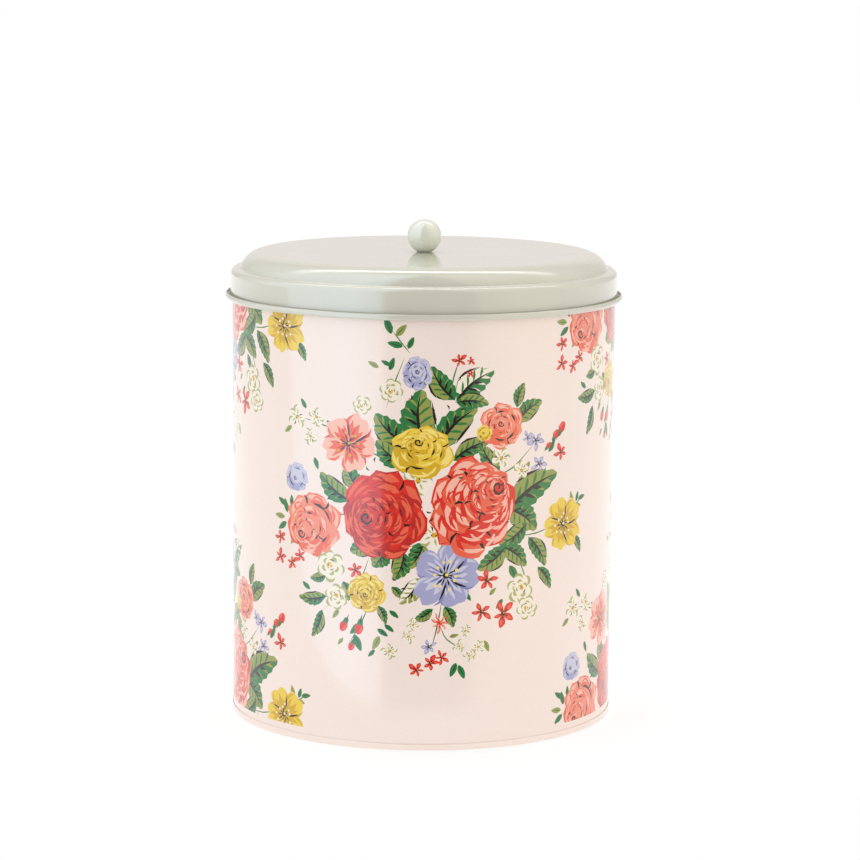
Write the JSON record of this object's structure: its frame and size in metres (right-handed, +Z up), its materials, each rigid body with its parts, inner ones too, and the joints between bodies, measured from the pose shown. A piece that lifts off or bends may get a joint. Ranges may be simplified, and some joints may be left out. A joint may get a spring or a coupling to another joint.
{
  "type": "cookie tin",
  "caption": "Round tinplate cookie tin with a floral printed wall, a slip-over domed lid with a rolled edge and a small ball knob.",
  "frame": {"origin": "centre of the circle that the base ring stands on", "axes": "+Z up along the tin's axis, -Y towards the front of the print; the wall's lock seam is at the back, at +Y"},
  "size_m": [0.1714, 0.1714, 0.2139],
  "materials": {
    "printed_wall": "pale pink tinplate printed with flower bouquets under gloss varnish, bare tinplate inside",
    "base_enamel": "pale pink gloss enamel outside, bare tinplate inside",
    "lid_enamel": "pale sage gloss enamel outside, bare tinplate inside",
    "knob_enamel": "pale sage pearl gloss enamel",
    "fastener_steel": "zinc-plated steel"
  },
  "bodies": {
    "tin": {"wall": "printed_wall", "base": "base_enamel"},
    "lid": {"lid_shell": "lid_enamel", "knob": "knob_enamel", "knob_washer": "fastener_steel", "knob_screw": "fastener_steel"}
  },
  "joints": [
    {"name": "lid_lift", "type": "slide", "parent": "tin", "child": "lid", "axis": [0, 0, 1], "range_m": [0, 0.12]}
  ]
}
